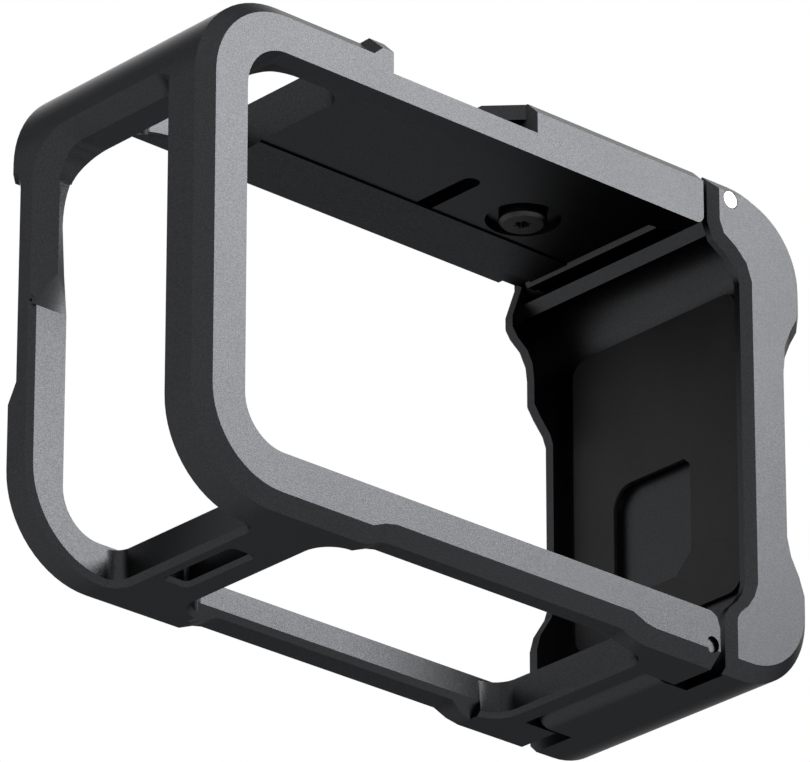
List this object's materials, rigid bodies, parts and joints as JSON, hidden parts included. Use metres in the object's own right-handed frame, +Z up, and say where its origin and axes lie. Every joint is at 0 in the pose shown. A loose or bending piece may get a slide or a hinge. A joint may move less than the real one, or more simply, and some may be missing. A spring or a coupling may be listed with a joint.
{
  "type": "action camera cage",
  "caption": "Open metal cage for an action camera, with a bottom-hinged side door, a sprung latch lever and a cold shoe on top.",
  "frame": {"origin": "centre of the cage's box in width and depth, at the underside of its feet", "axes": "+X towards the side door, +Y from the front opening to the back, +Z up to the cold shoe"},
  "size_m": [0.0784, 0.0292, 0.0525],
  "materials": {
    "anodised_frame": "satin",
    "anodised_door": "satin",
    "anodised_lever": "satin",
    "pad_rubber": "matte",
    "pin_steel": "polished",
    "spring_steel": "satin",
    "dark_steel": "satin"
  },
  "bodies": {
    "frame": {"main_frame": "anodised_frame", "hinge_pin": "pin_steel", "shoe_spring": "spring_steel", "nut_plate": "dark_steel", "top_screw": "dark_steel"},
    "door": {"side_door": "anodised_door", "door_pad": "pad_rubber", "latch_pin": "pin_steel", "latch_spring": "spring_steel"},
    "lever": {"latch_lever": "anodised_lever"}
  },
  "joints": [
    {"name": "door_hinge", "type": "hinge", "parent": "frame", "child": "door", "pos_m": [0.02528, 0, 0.00193], "axis": [0, 1, 0], "range_deg": [0, 100]},
    {"name": "latch_pivot", "type": "hinge", "parent": "door", "child": "lever", "pos_m": [0.02877, 0, 0.05022], "axis": [0, -1, 0], "range_deg": [0, 10], "stiffness_Nm_per_rad": 0.1, "springref_deg": -5.73, "deforming": ["latch_spring"]}
  ]
}
